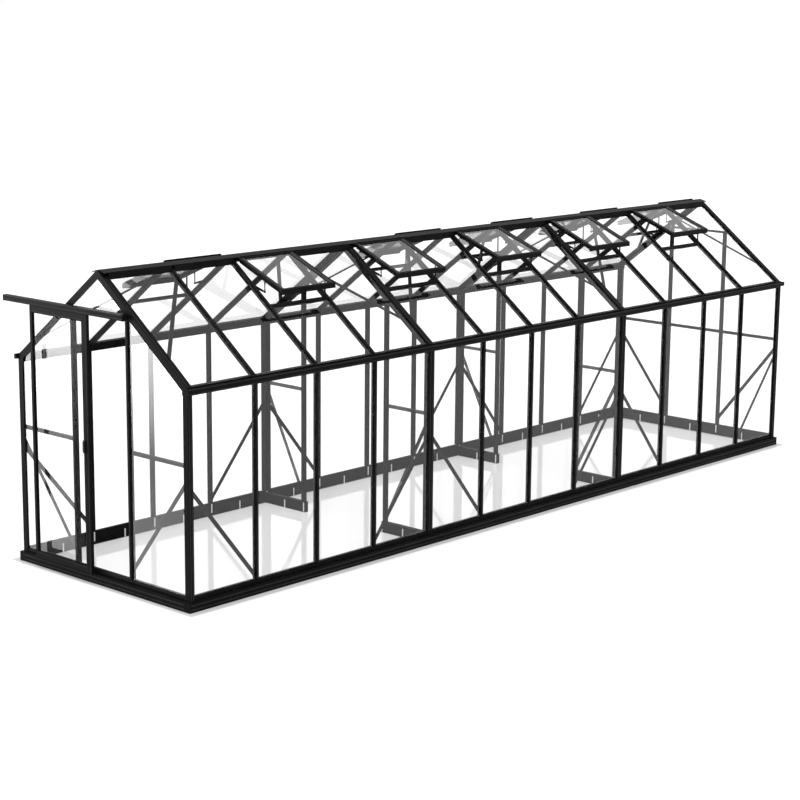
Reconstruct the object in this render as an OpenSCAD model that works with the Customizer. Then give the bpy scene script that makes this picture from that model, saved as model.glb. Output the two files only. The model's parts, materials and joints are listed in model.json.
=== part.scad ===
// Long glass greenhouse: black aluminium frame, clear panes, gable roof,
// one sliding door on an overhead track and hinged roof vents held ajar.
// X runs along the ridge, the sliding door closes the -X gable, Z is up.
// The origin is the middle of the base frame's footprint, at floor level.

/* [Overall] */
// Overall width of the base frame
width = 2200; // [2000:10:2500]
// Clear width of each wall bay
bay_clear = 671; // [580:1:760]
// Bays between two portal frames
section_bays = 4; // [3:1:5]
// Number of sections along the length
sections = 3; // [2:1:4]
// Height of the eave beam's underside
eave_under = 1743; // [1640:1:1900]
// Height of the ridge
ridge_h = 2625; // [2540:1:2750]

/* [Base frame] */
// Depth of the base rail
base_depth = 66; // [60:1:80]
// Height of the outer face of the base rail
plinth_h = 80; // [60:1:100]
// Height of the glazing sill on the base rail
sill_h = 120; // [110:1:140]
// Distance from the base rail's outer face back to the posts
ledge = 24; // [18:1:30]

/* [Posts and bars] */
// Width of a corner post's long-wall leg
corner_leg = 50; // [40:1:60]
// Width of a corner post's gable leg
gable_leg = 56; // [50:1:80]
// Thickness of the angle legs
leg_t = 14; // [10:1:14]
// Width of a glazing bar
bar_w = 26; // [20:1:30]
// Depth of a glazing bar
bar_d = 46; // [40:1:48]
// Width of a portal post
portal_w = 64; // [54:1:70]
// Depth of a portal post
portal_d = 64; // [56:1:68]

/* [Eaves and roof] */
// Height of the eave beam
eave_h = 69; // [64:1:74]
// How far the gutter stands out
gutter_out = 30; // [24:1:40]
// Height of the gutter
gutter_h = 40; // [34:1:44]
// Wall of the gutter
gutter_wall = 3; // [2:0.5:4]
// Half width of the ridge beam
ridge_half = 22; // [18:1:26]
// Underside of the ridge beam below the ridge
ridge_drop = 70; // [60:1:76]
// Depth of the gable rafter's upright leg, square to the slope
verge_d = 57; // [50:1:60]
// Width of the gable rafter's roof leg
verge_w = 60; // [50:1:70]
// Thickness of the gable rafter's roof leg
verge_t = 12; // [10:1:12]

/* [Glass] */
// Thickness of the panes
glass_t = 4; // [3:1:4]
// Depth of the panes behind the posts' outer faces
glass_back = 14; // [14:1:14]

/* [Gables and door] */
// Centre of each door post from the middle of the gable
door_post_c = 350; // [330:1:380]
// Middle of the mid rails above the floor
mid_rail_z = 1176; // [1000:1:1300]
// Width of the sliding door's leaf
leaf_w = 750; // [720:1:780]
// Thickness of the leaf
leaf_t = 28; // [24:1:30]
// Underside of the leaf above the floor
leaf_foot = 90; // [85:1:100]
// Top of the leaf above the floor
leaf_top = 2254; // [2240:1:2254]
// How far the leaf stands open from the closed place, towards +Y
leaf_open = 452; // [300:1:600]
// Width of the leaf's leading stile, on the handle side
lead_stile = 68; // [60:1:75]
// Width of the leaf's trailing stile
tail_stile = 31; // [24:1:40]

/* [Track] */
// Underside of the door track above the floor
track_z = 2259; // [2259:1:2261]
// Height of the door track
track_h = 49; // [44:1:54]
// Wall of the door track
track_wall = 4; // [3:1:5]

/* [Bracing] */
// Width of a brace
brace_w = 36; // [24:1:40]
// Thickness of a brace
brace_t = 5; // [4:1:6]

/* [Roof vents] */
// Slope of the open vent sashes, in degrees from level
vent_slope = 23; // [21:0.5:28]
// Distance of the sash's low edge from the ridge line
vent_reach = 593; // [540:1:620]
// Distance of the vent's sill rail from the ridge line
vent_sill = 490; // [470:1:520]
// Gap between a sash and the bars at each side
vent_gap = 12; // [8:1:20]

/* [Partitions] */
// Distance of the inner post from the outer face of the base
wing_reach = 559; // [480:1:640]
// Height of the partition's base rail
wing_base_h = 100; // [80:1:120]
// Thickness of the partition's base rail
wing_base_t = 45; // [38:1:50]

/* [Hidden] */
frame_black = [0.09, 0.09, 0.095];
pane_clear = [0.85, 0.92, 0.92, 0.3];
grip_black = [0.04, 0.04, 0.04];

bays = section_bays * sections;
posts = bays - 1;
length = 2 * (ledge + corner_leg) + bays * bay_clear
    + (posts - (sections - 1)) * bar_w + (sections - 1) * portal_w;
half_w = width / 2;
eave_top = eave_under + eave_h;
// Faces measured inward from the base rail's outer face
post_out = ledge;
bar_in = ledge + bar_d;
portal_in = ledge + portal_d;
beam_in = portal_in;
glass_out = ledge + glass_back;
glass_in = glass_out + glass_t;
leg_in = ledge + leg_t;
// The roof plane passes through the posts' outer faces at plane_foot
plane_foot = eave_under + 57;
pitch = atan((ridge_h - plane_foot) / (half_w - post_out));
fall = tan(pitch);
square = cos(pitch);
beam_in_h = half_w - beam_in;
ridge_under = ridge_h - ridge_drop;
ridge_shoulder = roof_z(ridge_half);
// The cap's wings, whose edges carry the vents' hinges
cap_half = 80;
cap_edge_z = ridge_h - 19;
cap_tip_z = ridge_h - 27;
// Depths of the roof glass under the roof plane, square to the slope
roof_glass_n = 12;
brace_n = 20;
brace_in = glass_in + 4;
gable_clip = 52;
rail_h = 22;
mid_h = 30;
// Vents
vent_hinge_z = ridge_h - 21;
wide_open = 2.2;
wide_vents = [7, 11];
sash_depth = 36;
sash_side = 27;
sash_head = 22;
sash_foot_t = 19;
sash_foot_h = 52;
sill_rail_w = 22;
sill_rail_n = brace_n;
front_vent_bays = [for (i = [3 : 2 : bays - 1]) i];
back_vent_bays = [for (i = [2 : 2 : bays]) if (i != section_bays) i];
braced_bays = [for (i = [1 : bays])
    if ((i - 1) % section_bays == 0 || i % section_bays == 0) i];
portals = [for (s = [1 : sections - 1]) s * section_bays];
// Door
leaf_x = -34;
track_out = 44;
track_in = 4;
leaf_y = -leaf_w / 2 + leaf_open;
track_y0 = -leaf_w / 2 - 12;
track_y1 = track_y0 + 1555;

// Start of a bay, and of the post after it, from the base rail's end
function bay_start(i) = ledge + corner_leg + (i - 1) * (bay_clear + bar_w)
    + floor((i - 1) / section_bays) * (portal_w - bar_w);
function bay_end(i) = bay_start(i) + bay_clear;
// Height of the roof plane at a distance from the ridge line, and of a line n below it
function roof_z(h) = ridge_h - h * fall;
function under_roof(h, n) = roof_z(h) - n / square;
// Distance from the ridge line at which that line reaches a height
function roof_h(z, n) = (ridge_h - n / square - z) / fall;
function is_in(i, list) = len(search(i, list)) > 0;
// Height of a bay's open sash at a distance from the ridge line
function sash_top(h, i) = vent_hinge_z
    - (h - cap_half) * tan(vent_slope - (is_in(i, wide_vents) ? wide_open : 0));

// A plate drawn in the side view (across the house, height), from x0 and w long
module across(x0, w) {
    translate([x0 - length / 2, 0, 0]) rotate([90, 0, 90]) linear_extrude(w) children();
}
// The same for the end view of a gable: drawn in (across, height), from d0 and t thick
module gable_plate(d0, t) { across(d0, t) children(); }
// A box whose y runs inward from the front wall's outer face and x from the door end
module wall_box(x0, x1, y0, y1, z0, z1) {
    translate([x0 - length / 2, y0 - half_w, z0]) cube([x1 - x0, y1 - y0, z1 - z0]);
}
// The front wall's pieces, or their mirror images at the back
module at_back(yes) { mirror([0, yes ? 1 : 0, 0]) children(); }
module at_far(yes) { mirror([yes ? 1 : 0, 0, 0]) children(); }
module both_sides() { for (b = [false, true]) at_back(b) children(); }
module both_gables() { for (b = [false, true]) at_far(b) children(); }
// A sloping flat bar along the line through two points, its ends cut upright at a and b
module brace_shape(p, q, a, b) {
    slope = (q[1] - p[1]) / (q[0] - p[0]);
    rise = brace_w / 2 * sqrt(1 + slope * slope);
    za = p[1] + (a - p[0]) * slope;
    zb = p[1] + (b - p[0]) * slope;
    polygon([[a, za - rise], [b, zb - rise], [b, zb + rise], [a, za + rise]]);
}

// Base frame
module base_section(x0, x1, lip0, lip1, sill0, sill1) {
    wall_box(x0, x1, 0, base_depth, 0, plinth_h);
    wall_box(sill0, sill1, glass_out, base_depth, plinth_h, sill_h);
    across(lip0, lip1 - lip0) translate([-half_w, 0])
        polygon([[glass_out - 8, plinth_h], [glass_out, plinth_h],
            [glass_out, sill_h - 2], [glass_out - 8, sill_h - 20]]);
}
module long_base_rail() {
    base_section(0, length, ledge + corner_leg, length - ledge - corner_leg,
        glass_out, length - glass_out);
}
module front_base_rail() { color(frame_black) long_base_rail(); }
module back_base_rail() { color(frame_black) at_back(true) long_base_rail(); }
module gable_base_rails() {
    lip = ledge + gable_leg;
    color(frame_black) both_gables() {
        wall_box(0, base_depth, base_depth, width - base_depth, 0, plinth_h);
        wall_box(glass_out, base_depth, base_depth, width - base_depth, plinth_h, sill_h);
        translate([-length / 2, half_w - lip, 0]) rotate([90, 0, 0])
            linear_extrude(width - 2 * lip)
            polygon([[glass_out - 8, plinth_h], [glass_out, plinth_h],
                [glass_out, sill_h - 2], [glass_out - 8, sill_h - 20]]);
    }
}

// Walls
module corner_posts() {
    color(frame_black) both_gables() both_sides() {
        wall_box(ledge, ledge + corner_leg, ledge, leg_in, plinth_h, eave_under);
        wall_box(ledge, leg_in, ledge, ledge + gable_leg, plinth_h, eave_under);
    }
}
module wall_bars() {
    for (k = [1 : posts]) if (k % section_bays != 0)
        wall_box(bay_end(k), bay_end(k) + bar_w, post_out, bar_in, sill_h, eave_under);
}
module front_wall_bars() { color(frame_black) wall_bars(); }
module back_wall_bars() { color(frame_black) at_back(true) wall_bars(); }
module portal_posts() {
    for (k = portals)
        wall_box(bay_end(k), bay_end(k) + portal_w, post_out, portal_in, sill_h, eave_under);
}
module front_portal_posts() { color(frame_black) portal_posts(); }
module back_portal_posts() { color(frame_black) at_back(true) portal_posts(); }
module eave_beams() {
    color(frame_black) both_sides()
        wall_box(ledge, length - ledge, post_out, beam_in, eave_under, eave_top);
}
module gutter() {
    z0 = eave_top - 48;
    difference() {
        wall_box(5, length - 5, ledge - gutter_out, ledge, z0, z0 + gutter_h);
        wall_box(5 + gutter_wall, length - 5 - gutter_wall, ledge - gutter_out + gutter_wall,
            ledge - gutter_wall, z0 + gutter_wall, z0 + gutter_h + 1);
    }
}
module front_gutter() { color(frame_black) gutter(); }
module back_gutter() { color(frame_black) at_back(true) gutter(); }

// Roof
module ridge_beam() {
    color(frame_black) across(leg_in, length - 2 * leg_in)
        polygon([[-ridge_half, ridge_under], [ridge_half, ridge_under],
            [ridge_half, ridge_shoulder], [cap_half, cap_tip_z], [cap_half, cap_edge_z],
            [0, ridge_h], [-cap_half, cap_edge_z], [-cap_half, cap_tip_z],
            [-ridge_half, ridge_shoulder]]);
}
// A rafter in the side view: notched over the eave beam, its head against the ridge beam
module rafter_shape(n, head) {
    polygon([[-roof_h(eave_top, 0), eave_top], [-head, roof_z(head)],
        [-head, under_roof(head, n)], [-beam_in_h, under_roof(beam_in_h, n)],
        [-beam_in_h, eave_top]]);
}
module roof_bars() {
    for (k = [1 : posts]) if (k % section_bays != 0)
        across(bay_end(k), bar_w) rafter_shape(bar_d, ridge_half);
}
module front_roof_bars() { color(frame_black) roof_bars(); }
module back_roof_bars() { color(frame_black) at_back(true) roof_bars(); }
module portal_rafters() {
    for (k = portals) across(bay_end(k), portal_w) rafter_shape(portal_d, ridge_half);
}
module front_portal_rafters() { color(frame_black) portal_rafters(); }
module back_portal_rafters() { color(frame_black) at_back(true) portal_rafters(); }
module gable_rafters() {
    both_gables() {
        across(ledge, leg_t) rafter_shape(verge_d, 0);
        across(leg_in, verge_w - leg_t) polygon([
            [-roof_h(eave_top, 0), eave_top], [-ridge_half, roof_z(ridge_half)],
            [-ridge_half, under_roof(ridge_half, verge_t)],
            [-roof_h(eave_top, verge_t), eave_top]]);
    }
}
module front_gable_rafters() { color(frame_black) gable_rafters(); }
module back_gable_rafters() { color(frame_black) at_back(true) gable_rafters(); }

// Gables
module gable_bars() {
    both_sides() across(ledge, bar_d) polygon([
        [-door_post_c - bar_w / 2, sill_h], [-door_post_c + bar_w / 2, sill_h],
        [-door_post_c + bar_w / 2, under_roof(door_post_c - bar_w / 2, verge_d)],
        [-door_post_c - bar_w / 2, under_roof(door_post_c + bar_w / 2, verge_d)]]);
}
module door_gable_bars() { color(frame_black) gable_bars(); }
module far_gable_bars() { color(frame_black) at_far(true) gable_bars(); }
door_clear_h = door_post_c - bar_w / 2;
// The head rail fits just under the rafters
head_rail_z = under_roof(door_clear_h, verge_d) - rail_h / 2 - 1;
module gable_head_rails() {
    color(frame_black) {
        wall_box(ledge, bar_in, half_w - door_clear_h, half_w + door_clear_h,
            head_rail_z - rail_h / 2, head_rail_z + rail_h / 2);
        at_far(true) wall_box(glass_in, bar_in, half_w - door_clear_h, half_w + door_clear_h,
            head_rail_z - rail_h / 2, head_rail_z + rail_h / 2);
    }
}
module gable_mid_rails() {
    color(frame_black) {
        both_gables() both_sides() wall_box(glass_in, bar_in, leg_in,
            half_w - door_post_c - bar_w / 2, mid_rail_z - mid_h / 2, mid_rail_z + mid_h / 2);
        at_far(true) wall_box(glass_in, bar_in, half_w - door_clear_h, half_w + door_clear_h,
            mid_rail_z - mid_h / 2, mid_rail_z + mid_h / 2);
    }
}

// Bracing
wall_brace_top = 970;
wall_brace_foot = 155;
module wall_braces() {
    color(frame_black) both_sides() for (i = braced_bays) {
        // the brace drops from the portal or corner post to the foot of the next bar
        down = (i - 1) % section_bays == 0;
        a = bay_start(i);
        b = bay_end(i);
        p = down ? [a, wall_brace_top] : [a, wall_brace_foot];
        q = down ? [b, wall_brace_foot] : [b, wall_brace_top];
        translate([-length / 2, brace_in + brace_t - half_w, 0]) rotate([90, 0, 0])
            linear_extrude(brace_t)
            brace_shape(p, q, i == 1 ? leg_in : a, i == bays ? length - leg_in : b);
    }
}
gable_brace_top = 1032;
gable_brace_foot = 200;
module gable_braces() {
    color(frame_black) both_gables() both_sides() across(brace_in, brace_t)
        translate([-half_w, 0])
        brace_shape([ledge + gable_leg, gable_brace_top],
            [half_w - door_post_c - bar_w / 2, gable_brace_foot],
            leg_in, half_w - door_post_c - bar_w / 2);
}
roof_brace_low = 285;
roof_brace_high = 950;
// The roof's own plane: local y runs up the slope from the ridge line (so it is negative)
module in_roof_plane() {
    translate([-length / 2, 0, ridge_h]) rotate([pitch, 0, 0]) children();
}
module roof_braces() {
    low = -(half_w - roof_brace_low) / square;
    high = -(half_w - roof_brace_high) / square;
    color(frame_black) both_sides() for (i = braced_bays) {
        down = (i - 1) % section_bays == 0;
        a = bay_start(i);
        b = bay_end(i);
        in_roof_plane() translate([0, 0, -brace_n - brace_t]) linear_extrude(brace_t)
            brace_shape([a, down ? low : high], [b, down ? high : low],
                i == 1 ? leg_in : a, i == bays ? length - leg_in : b);
    }
}

// Partitions at the two portal frames: a glazed wing each side of the walkway
wing_post_in = wing_reach + bar_w;
function wing_mid(k) = bay_end(k) + portal_w / 2;
module partition_base_rails() {
    color(frame_black) both_sides() for (k = portals)
        wall_box(wing_mid(k) - wing_base_t / 2, wing_mid(k) + wing_base_t / 2,
            base_depth, wing_post_in + 19, 0, wing_base_h);
}
module partition_posts() {
    h0 = half_w - wing_reach;
    h1 = half_w - wing_post_in;
    color(frame_black) both_sides() for (k = portals)
        across(wing_mid(k) - bar_d / 2, bar_d) polygon([[-h0, wing_base_h], [-h1, wing_base_h],
            [-h1, under_roof(h1, portal_d)], [-h0, under_roof(h0, portal_d)]]);
}
module partition_mid_rails() {
    color(frame_black) both_sides() for (k = portals)
        wall_box(wing_mid(k) + glass_t / 2, wing_mid(k) + bar_d / 2, portal_in, wing_reach,
            mid_rail_z - mid_h / 2, mid_rail_z + mid_h / 2);
}
wing_brace_top = 1085;
wing_brace_foot = 150;
module partition_braces() {
    color(frame_black) both_sides() for (k = portals)
        across(wing_mid(k) + glass_t / 2 + 2, brace_t) translate([-half_w, 0])
            brace_shape([portal_in, wing_brace_top], [wing_reach, wing_brace_foot],
                portal_in, wing_reach);
}
module partition_glass() {
    h1 = half_w - wing_reach;
    color(pane_clear) both_sides() for (k = portals)
        across(wing_mid(k) - glass_t / 2, glass_t)
            polygon([[-beam_in_h, wing_base_h], [-h1, wing_base_h],
                [-h1, under_roof(h1, portal_d)], [-beam_in_h, under_roof(beam_in_h, portal_d)]]);
}

// Panes
module wall_glass() {
    for (i = [1 : bays])
        wall_box(i == 1 ? bar_in : bay_start(i), i == bays ? length - bar_in : bay_end(i),
            glass_out, glass_in, sill_h, eave_under);
}
module front_wall_glass() { color(pane_clear) wall_glass(); }
module back_wall_glass() { color(pane_clear) at_back(true) wall_glass(); }
module roof_pane(i, head) {
    a = i == 1 ? leg_in : bay_start(i);
    b = i == bays ? length - leg_in : bay_end(i);
    top = roof_glass_n;
    low = roof_glass_n + glass_t;
    across(a, b - a) polygon([[-roof_h(eave_top, top), eave_top], [-head, under_roof(head, top)],
        [-head, under_roof(head, low)], [-roof_h(eave_top, low), eave_top]]);
}
module front_roof_glass() {
    color(pane_clear) for (i = [1 : bays])
        roof_pane(i, is_in(i, front_vent_bays) ? vent_sill + sill_rail_w : ridge_half);
}
module back_roof_glass() {
    color(pane_clear) at_back(true) for (i = [1 : bays])
        roof_pane(i, is_in(i, back_vent_bays) ? vent_sill + sill_rail_w : ridge_half);
}
module gable_side_pane() {
    h0 = half_w - bar_in;
    h1 = door_post_c + bar_w / 2;
    gable_plate(glass_out, glass_t) polygon([[-h0, sill_h], [-h1, sill_h],
        [-h1, roof_z(h1) - gable_clip], [-beam_in_h, roof_z(beam_in_h) - gable_clip],
        [-beam_in_h, eave_under], [-h0, eave_under]]);
}
module gable_centre_pane(foot) {
    flat_h = (ridge_drop - gable_clip) / fall;
    side_z = roof_z(door_clear_h) - gable_clip;
    gable_plate(glass_out, glass_t) polygon([[-door_clear_h, foot], [door_clear_h, foot],
        [door_clear_h, side_z], [flat_h, ridge_under], [-flat_h, ridge_under],
        [-door_clear_h, side_z]]);
}
module door_gable_glass() {
    color(pane_clear) { both_sides() gable_side_pane(); gable_centre_pane(head_rail_z + rail_h / 2); }
}
module far_gable_glass() {
    color(pane_clear) at_far(true) { both_sides() gable_side_pane(); gable_centre_pane(sill_h); }
}

// Roof vents
module vent_sills() {
    h0 = vent_sill;
    h1 = vent_sill + sill_rail_w;
    color(frame_black) for (back = [false, true]) at_back(back)
        for (i = back ? back_vent_bays : front_vent_bays)
            across(bay_start(i), i == bays ? bay_clear + corner_leg - verge_w : bay_clear) polygon([
                [-h1, under_roof(h1, 2)], [-h0, under_roof(h0, 2)],
                [-h0, under_roof(h0, sill_rail_n)], [-h1, under_roof(h1, sill_rail_n)]]);
}
module sash(i) {
    a = bay_start(i) + vent_gap;
    w = bay_clear - 2 * vent_gap;
    h0 = cap_half + sash_head;
    foot = vent_reach;
    // head rail, hinged on the edge of the ridge cap
    across(a, w) polygon([[-cap_half, vent_hinge_z], [-h0, sash_top(h0, i)],
        [-h0, vent_hinge_z - 36], [-cap_half, vent_hinge_z - 36]]);
    for (x = [a, a + w - sash_side]) across(x, sash_side)
        polygon([[-h0, sash_top(h0, i)], [-foot, sash_top(foot, i)],
            [-foot, sash_top(foot, i) - sash_depth], [-h0, sash_top(h0, i) - sash_depth]]);
    across(a, w) polygon([[-foot, sash_top(foot, i)],
        [-foot - sash_foot_t, sash_top(foot + sash_foot_t, i)],
        [-foot - sash_foot_t, sash_top(foot, i) - sash_foot_h],
        [-foot, sash_top(foot, i) - sash_foot_h]]);
}
pane_drop = 8;
module sash_pane(i) {
    a = bay_start(i) + vent_gap + sash_side;
    w = bay_clear - 2 * vent_gap - 2 * sash_side;
    h0 = cap_half + sash_head;
    top = sash_top(h0, i) - pane_drop;
    low = sash_top(vent_reach, i) - pane_drop;
    across(a, w) polygon([[-h0, top], [-vent_reach, low], [-vent_reach, low - glass_t],
        [-h0, top - glass_t]]);
}
module front_vents() { color(frame_black) for (i = front_vent_bays) sash(i); }
module back_vents() { color(frame_black) at_back(true) for (i = back_vent_bays) sash(i); }
module front_vent_glass() { color(pane_clear) for (i = front_vent_bays) sash_pane(i); }
module back_vent_glass() { color(pane_clear) at_back(true) for (i = back_vent_bays) sash_pane(i); }
stay_w = 12;
stay_t = 10;
module vent_stays() {
    // an upright arm on the sill rail carries the sash's far stile
    h0 = vent_sill + 6;
    h1 = h0 + stay_t;
    color(frame_black) for (back = [false, true]) at_back(back)
        for (i = back ? back_vent_bays : front_vent_bays)
            across(bay_end(i) - vent_gap - sash_side + 4, stay_w) polygon([
                [-h1, under_roof(h1, 2)], [-h0, under_roof(h0, 2)],
                [-h0, sash_top(h0, i) - sash_depth], [-h1, sash_top(h1, i) - sash_depth]]);
}

// Sliding door
module end_box(x0, x1, y0, y1, z0, z1) {
    translate([x0 - length / 2, y0, z0]) cube([x1 - x0, y1 - y0, z1 - z0]);
}
slot_half = 7;
slot_x = leaf_x + leaf_t / 2;
module door_track() {
    color(frame_black) difference() {
        end_box(-track_out, track_in, track_y0, track_y1, track_z, track_z + track_h);
        end_box(-track_out + track_wall, track_in - track_wall, track_y0 + track_wall,
            track_y1 - track_wall, track_z + track_wall, track_z + track_h - track_wall);
        end_box(slot_x - slot_half, slot_x + slot_half, track_y0 + track_wall,
            track_y1 - track_wall, track_z - 1, track_z + track_h / 2);
    }
}
module track_brackets() {
    // each bracket reaches both the track and the head rail's height
    z0 = min(track_z + 6, head_rail_z - 9);
    z1 = max(track_z + 24, head_rail_z + 9);
    color(frame_black) for (y = [-door_post_c - 9, door_post_c - 9, -9])
        end_box(track_in, ledge, y, y + 18, z0, z1);
}
top_rail = 54;
foot_rail = 55;
module door_frame() {
    color(frame_black) difference() {
        end_box(leaf_x, leaf_x + leaf_t, leaf_y, leaf_y + leaf_w, leaf_foot, leaf_top);
        end_box(leaf_x - 1, leaf_x + leaf_t + 1, leaf_y + lead_stile, leaf_y + leaf_w - tail_stile,
            leaf_foot + foot_rail, leaf_top - top_rail);
    }
}
module door_glass() {
    color(pane_clear) end_box(slot_x - glass_t / 2, slot_x + glass_t / 2,
        leaf_y + lead_stile, leaf_y + leaf_w - tail_stile,
        leaf_foot + foot_rail, leaf_top - top_rail);
}
stem_t = 4;
module door_hangers() {
    z0 = leaf_top;
    color(frame_black) for (y = [leaf_y + 70, leaf_y + leaf_w - 110]) {
        end_box(slot_x - stem_t / 2, slot_x + stem_t / 2, y, y + 40, z0, track_z + track_wall + 7);
        end_box(slot_x - 12, slot_x + 12, y - 10, y + 50, track_z + track_wall + 7,
            track_z + track_h - track_wall - 7);
    }
}
handle_z = 1104;
handle_h = 112;
module door_handle() {
    // a solid grip on the outer face of the leading stile, thinner towards its ends
    y0 = leaf_y + lead_stile - 22;
    color(grip_black) translate([leaf_x - length / 2, y0, handle_z])
        rotate([-90, 0, 0]) linear_extrude(20)
        polygon([[0, 0], [-7, 0], [-16, -14], [-16, -handle_h + 14], [-7, -handle_h],
            [0, -handle_h]]);
}

front_base_rail();
back_base_rail();
gable_base_rails();
corner_posts();
front_wall_bars();
back_wall_bars();
front_portal_posts();
back_portal_posts();
eave_beams();
front_gutter();
back_gutter();
ridge_beam();
front_roof_bars();
back_roof_bars();
front_portal_rafters();
back_portal_rafters();
front_gable_rafters();
back_gable_rafters();
door_gable_bars();
far_gable_bars();
gable_head_rails();
gable_mid_rails();
wall_braces();
roof_braces();
gable_braces();
partition_base_rails();
partition_posts();
partition_mid_rails();
partition_braces();
partition_glass();
front_wall_glass();
back_wall_glass();
front_roof_glass();
back_roof_glass();
door_gable_glass();
far_gable_glass();
vent_sills();
front_vents();
back_vents();
front_vent_glass();
back_vent_glass();
vent_stays();
door_track();
track_brackets();
door_frame();
door_glass();
door_hangers();
door_handle();
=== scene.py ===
"""Long glass greenhouse: black powder-coated frame, clear panes, sliding door, vents ajar."""
import json
import math

import bmesh
import bpy
from mathutils import Matrix, Vector


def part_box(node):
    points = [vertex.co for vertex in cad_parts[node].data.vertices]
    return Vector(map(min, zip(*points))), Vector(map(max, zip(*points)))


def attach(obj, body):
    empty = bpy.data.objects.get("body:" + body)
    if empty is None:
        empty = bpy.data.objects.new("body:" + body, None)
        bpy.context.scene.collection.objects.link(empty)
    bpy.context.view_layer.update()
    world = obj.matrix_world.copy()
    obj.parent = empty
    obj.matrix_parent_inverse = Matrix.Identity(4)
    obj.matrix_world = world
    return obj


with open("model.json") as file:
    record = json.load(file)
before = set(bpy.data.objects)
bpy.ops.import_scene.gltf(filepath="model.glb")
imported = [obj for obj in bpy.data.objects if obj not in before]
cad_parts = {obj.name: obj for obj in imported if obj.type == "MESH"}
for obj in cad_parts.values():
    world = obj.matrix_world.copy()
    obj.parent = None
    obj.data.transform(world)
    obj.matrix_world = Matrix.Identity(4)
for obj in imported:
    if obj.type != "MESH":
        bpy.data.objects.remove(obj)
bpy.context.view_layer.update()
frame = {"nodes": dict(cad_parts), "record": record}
nodes = frame["nodes"]
scene = bpy.context.scene
MM = 0.001
UP = (0, 0, 1)


# ---------------------------------------------------------------- materials
def from_hex(code):
    """An sRGB hex colour as linear red, green, blue and a full alpha."""
    parts = [int(code[i:i + 2], 16) / 255 for i in (1, 3, 5)]
    return tuple(c / 12.92 if c <= 0.04045 else ((c + 0.055) / 1.055) ** 2.4
                 for c in parts) + (1.0,)


def add_node(tree, kind, settings=None, **links):
    """A shader node with its settings; links maps an input's name to a value or a socket."""
    made = tree.nodes.new(kind)
    for name, value in (settings or {}).items():
        setattr(made, name, value)
    for name, value in links.items():
        key = int(name[1:]) if name[0] == "i" and name[1:].isdigit() else name.replace("_", " ")
        socket = made.inputs[key]
        if isinstance(value, bpy.types.NodeSocket):
            tree.links.new(value, socket)
        else:
            socket.default_value = value
    return made


def new_material(name):
    """An empty node material and its output."""
    mat = bpy.data.materials.new(name)
    mat.use_nodes = True
    mat.node_tree.nodes.clear()
    return mat, mat.node_tree, mat.node_tree.nodes.new("ShaderNodeOutputMaterial")


def powder_coat(name, colour, colour_dusty, roughness):
    """Polyester powder coat on aluminium, sprayed and baked: an even satin black with a fine
    orange peel about 2 mm across, and a film of dust that lightens it in patches a third of
    a metre across."""
    mat, tree, out = new_material(name)
    place = add_node(tree, "ShaderNodeTexCoord").outputs["Object"]
    dust = add_node(tree, "ShaderNodeTexNoise", Vector=place, Scale=3.0, Detail=4.0,
                    Roughness=0.6)
    film = add_node(tree, "ShaderNodeMapRange", Value=dust.outputs["Fac"],
                    From_Min=0.4, From_Max=0.75)
    tint = add_node(tree, "ShaderNodeMix", {"data_type": "RGBA"}, i0=film.outputs[0],
                    i6=from_hex(colour), i7=from_hex(colour_dusty))
    gloss = add_node(tree, "ShaderNodeMapRange", Value=dust.outputs["Fac"],
                     To_Min=roughness - 0.05, To_Max=roughness + 0.08)
    peel = add_node(tree, "ShaderNodeTexNoise", Vector=place, Scale=500.0, Detail=1.0)
    bump = add_node(tree, "ShaderNodeBump", Strength=0.03, Distance=0.0002,
                    Height=peel.outputs["Fac"])
    coat = add_node(tree, "ShaderNodeBsdfPrincipled", Base_Color=tint.outputs[2],
                    Roughness=gloss.outputs[0], Normal=bump.outputs[0],
                    Specular_IOR_Level=0.04)
    tree.links.new(coat.outputs[0], out.inputs["Surface"])
    return mat


def clear_glass(name, sheen, edge_shade=0.0):
    """Float glass 4 mm thick: colourless to look through, with one sharp reflection that
    stands for its two faces; sheen is how much of it there is, and edge_shade how much
    darker the pane gets where it is seen almost along its face, a painted shade that stands
    for the dark reflection there."""
    mat, tree, out = new_material(name)
    rim = add_node(tree, "ShaderNodeFresnel", IOR=1.5)
    both = add_node(tree, "ShaderNodeMath", {"operation": "MULTIPLY", "use_clamp": True},
                    i0=rim.outputs[0], i1=sheen)
    side = add_node(tree, "ShaderNodeNewGeometry")
    front = add_node(tree, "ShaderNodeMath", {"operation": "SUBTRACT"}, i0=1.0,
                     i1=side.outputs["Backfacing"])
    share = add_node(tree, "ShaderNodeMath", {"operation": "MULTIPLY"}, i0=both.outputs[0],
                     i1=front.outputs[0])
    through = add_node(tree, "ShaderNodeBsdfTransparent", Color=(1, 1, 1, 1))
    mirror = add_node(tree, "ShaderNodeBsdfGlossy", Color=(1, 1, 1, 1), Roughness=0.0)
    # painted shade: the pane and its reflection are darkened where it is seen almost edge-on
    if edge_shade:
        lean = add_node(tree, "ShaderNodeLayerWeight", Blend=0.5).outputs["Facing"]
        low_angle = add_node(tree, "ShaderNodeMapRange", {"interpolation_type": "SMOOTHSTEP"},
                             Value=lean, From_Min=0.7, From_Max=0.9,
                             To_Min=1.0, To_Max=1.0 - edge_shade)
        shade = add_node(tree, "ShaderNodeCombineColor", i0=low_angle.outputs[0],
                         i1=low_angle.outputs[0], i2=low_angle.outputs[0])
        tree.links.new(shade.outputs[0], through.inputs["Color"])
        tree.links.new(shade.outputs[0], mirror.inputs["Color"])
    pane = add_node(tree, "ShaderNodeMixShader", i0=share.outputs[0], i1=through.outputs[0],
                    i2=mirror.outputs[0])
    tree.links.new(pane.outputs[0], out.inputs["Surface"])
    return mat


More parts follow.
